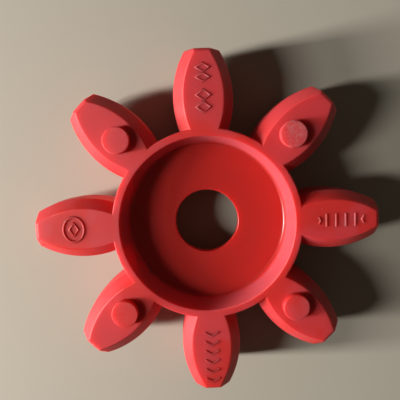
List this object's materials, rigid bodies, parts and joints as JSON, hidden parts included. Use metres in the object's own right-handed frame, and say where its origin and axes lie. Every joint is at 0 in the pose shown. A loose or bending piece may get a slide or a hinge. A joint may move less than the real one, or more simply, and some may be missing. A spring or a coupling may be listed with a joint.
{
  "type": "jaw coupling spider",
  "caption": "Red polyurethane spider for a jaw coupling: crowned, bevelled teeth round a ring that is closed by a thin web with a centre hole, and spacer pips on the teeth.",
  "frame": {"origin": "centre of the spider, on the coupling's axis at mid width", "axes": "+Z along the coupling's axis, out of the face whose pips stand on the diagonal teeth; +X along the middle of one tooth"},
  "size_m": [0.105, 0.105, 0.026],
  "materials": {
    "polyurethane": "satin moulded red polyurethane, slightly translucent"
  },
  "bodies": {
    "root": {"spider": "polyurethane"}
  },
  "joints": []
}
